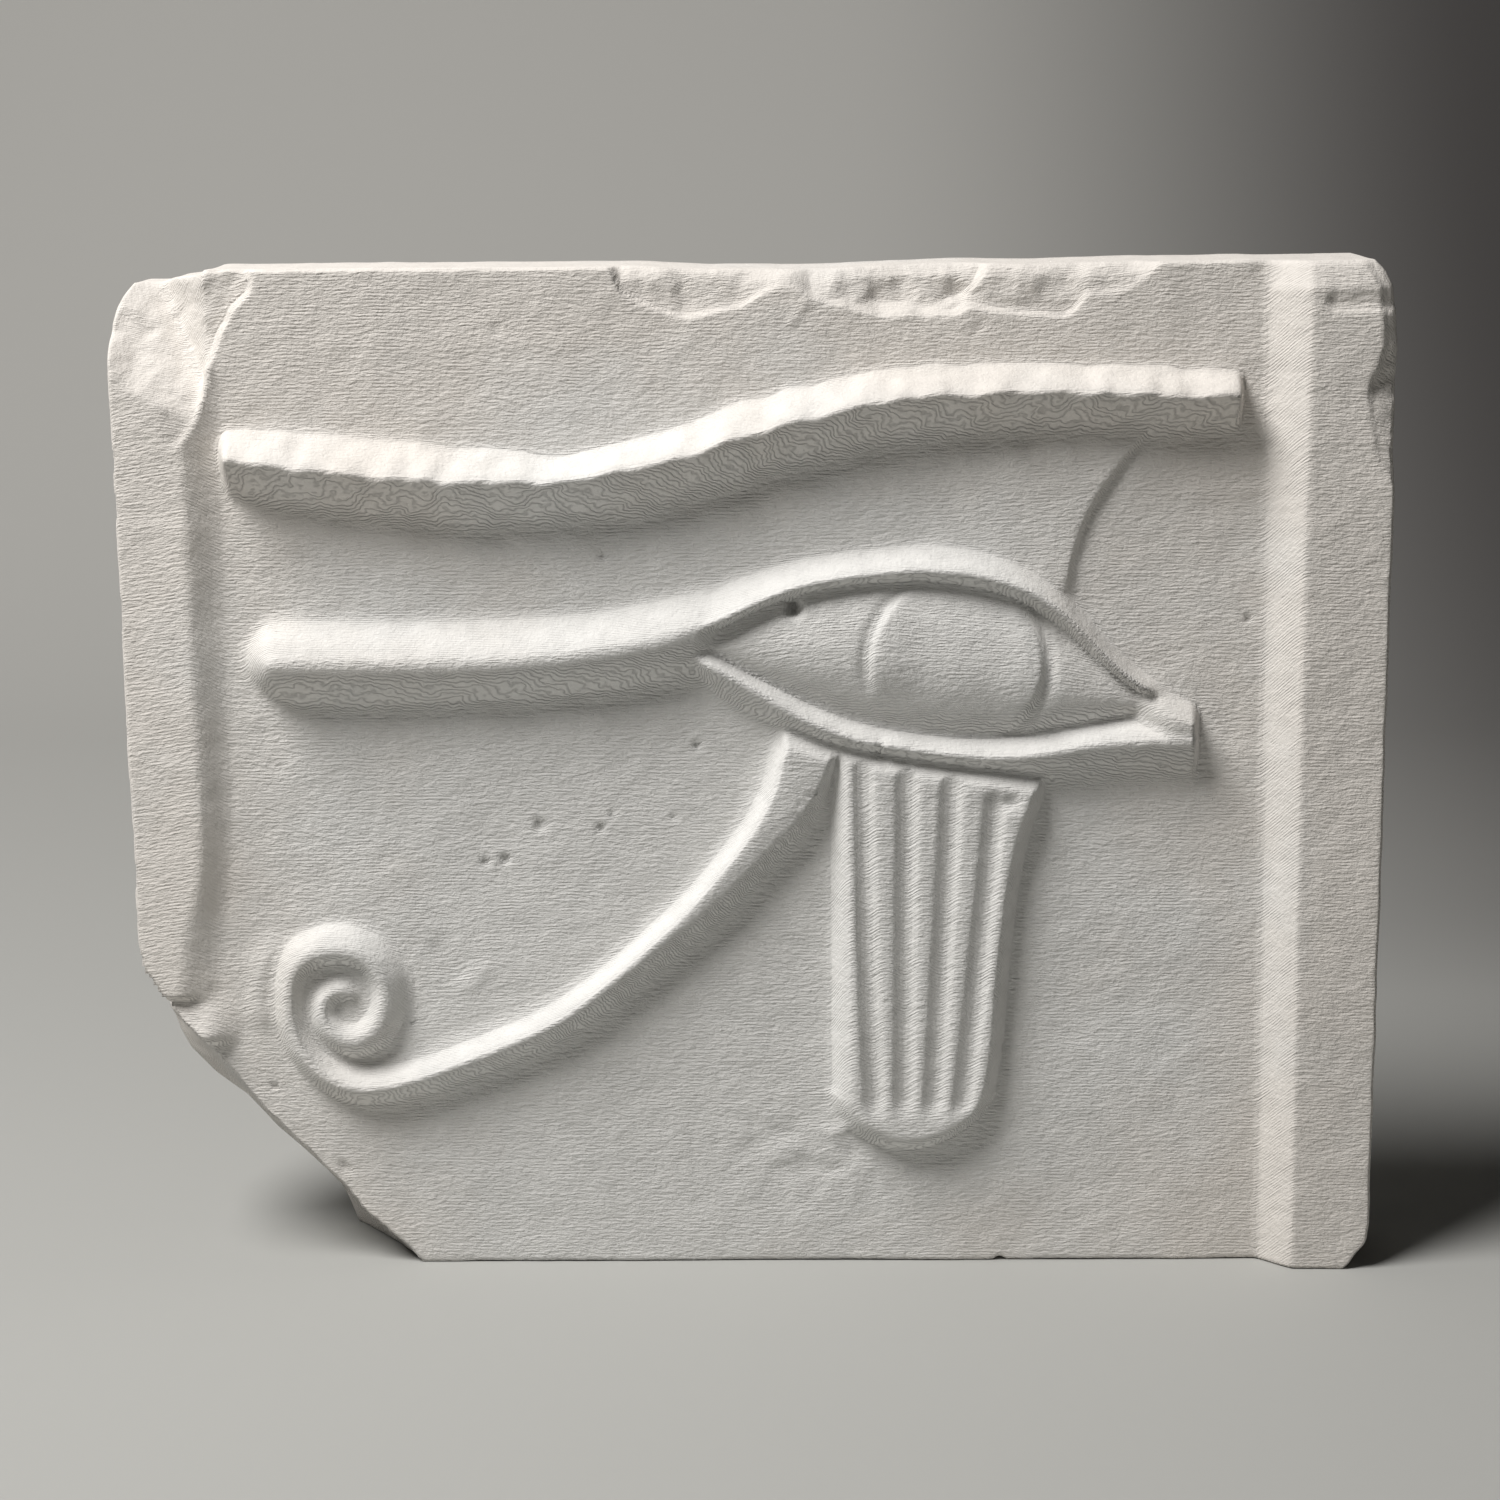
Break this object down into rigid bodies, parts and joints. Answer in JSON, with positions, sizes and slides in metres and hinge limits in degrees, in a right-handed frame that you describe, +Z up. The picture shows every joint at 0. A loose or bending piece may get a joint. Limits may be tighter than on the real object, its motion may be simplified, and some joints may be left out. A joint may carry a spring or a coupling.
{
  "type": "plaster relief plaque",
  "caption": "Small plaster relief slab with a carved stylised eye, raised side borders and one broken lower corner, standing on its flat underside.",
  "frame": {"origin": "on the flat underside, at the middle of the slab's width and of the slab's thickness without the relief", "axes": "+X across the face to the viewer's right, +Y from the carved face through the slab to its back, +Z up"},
  "size_m": [0.125, 0.0168, 0.102],
  "materials": {
    "plaster": "matt off-white cast plaster with fine horizontal lines"
  },
  "bodies": {
    "root": {"relief_plaque": "plaster"}
  },
  "joints": []
}
